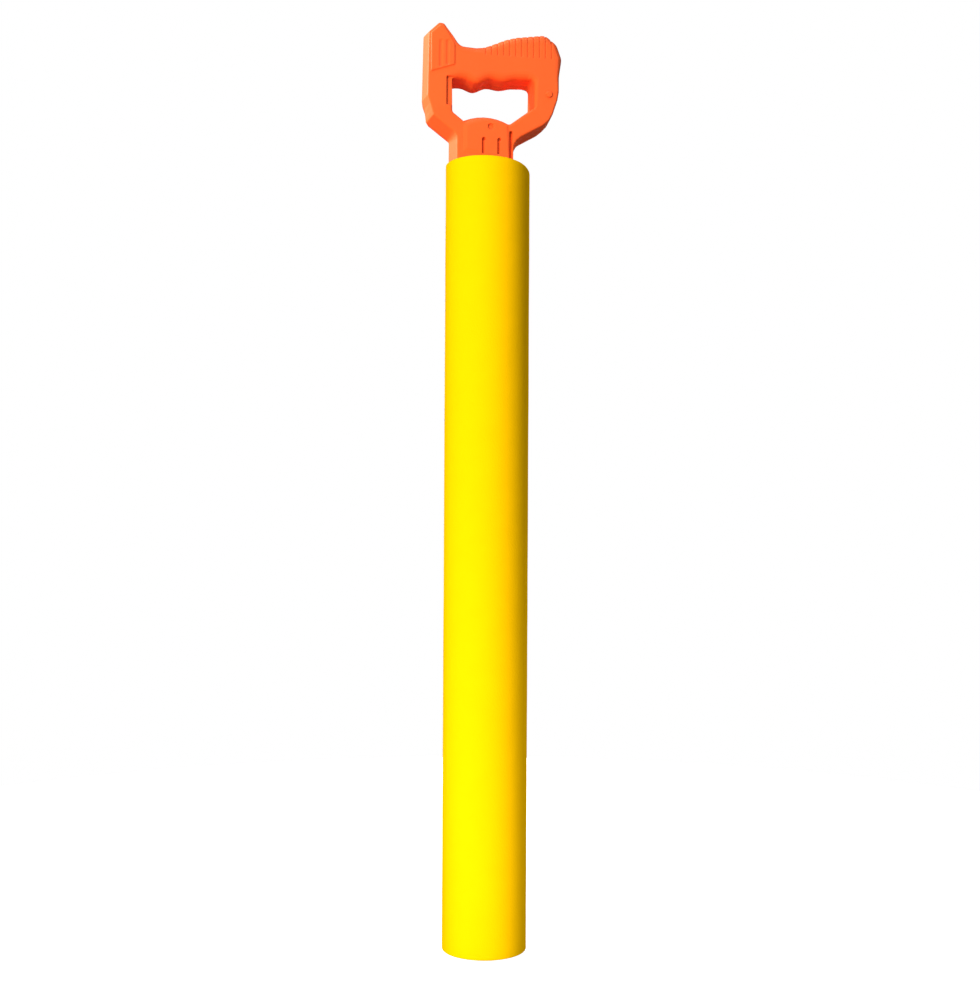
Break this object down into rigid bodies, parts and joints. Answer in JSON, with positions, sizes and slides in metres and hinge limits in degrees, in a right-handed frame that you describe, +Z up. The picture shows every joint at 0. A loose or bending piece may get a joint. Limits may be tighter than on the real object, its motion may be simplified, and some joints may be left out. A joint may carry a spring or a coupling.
{
  "type": "water squirter",
  "caption": "Syringe-type water squirter: a long soft foam-covered tube with a jet hole in its end and a moulded D-handle on a plunger that is pulled out to fill and pushed in to squirt.",
  "frame": {"origin": "centre of the foam sleeve's lower end face, on the barrel's axis", "axes": "+Z up along the barrel's axis from the nozzle to the handle; the handle lies in the XZ plane, its horn towards -X and the rounded end of its grip towards +X; its screw heads face +Y"},
  "size_m": [0.0931, 0.054, 0.6011],
  "materials": {
    "yellow_foam": "bright yellow closed-cell foam, matt",
    "orange_plastic": "orange moulded plastic, satin",
    "white_plastic": "white extruded tube, smooth",
    "grey_plastic": "dark grey moulded plastic",
    "black_rubber": "black rubber",
    "steel": "zinc-plated steel"
  },
  "bodies": {
    "barrel": {"foam_sleeve": "yellow_foam", "barrel_tube": "white_plastic", "nozzle_plug": "orange_plastic", "nozzle_seal": "black_rubber", "rear_collar": "grey_plastic"},
    "piston_seal": {"piston_ring_front": "black_rubber", "piston_ring_rear": "black_rubber"},
    "plunger": {"piston_head": "grey_plastic", "plunger_rod": "white_plastic", "piston_pin": "steel", "rod_pin": "steel", "handle_front_half": "orange_plastic", "handle_rear_half": "orange_plastic", "socket_screw": "steel", "right_post_screw": "steel", "left_post_screw": "steel"}
  },
  "joints": [
    {"name": "plunger_slide", "type": "slide", "parent": "barrel", "child": "piston_seal", "axis": [0, 0, 1], "range_m": [0, 0.43]},
    {"name": "plunger_spin", "type": "hinge", "parent": "piston_seal", "child": "plunger", "pos_m": [0, 0, 0], "axis": [0, 0, 1], "continuous": true}
  ]
}
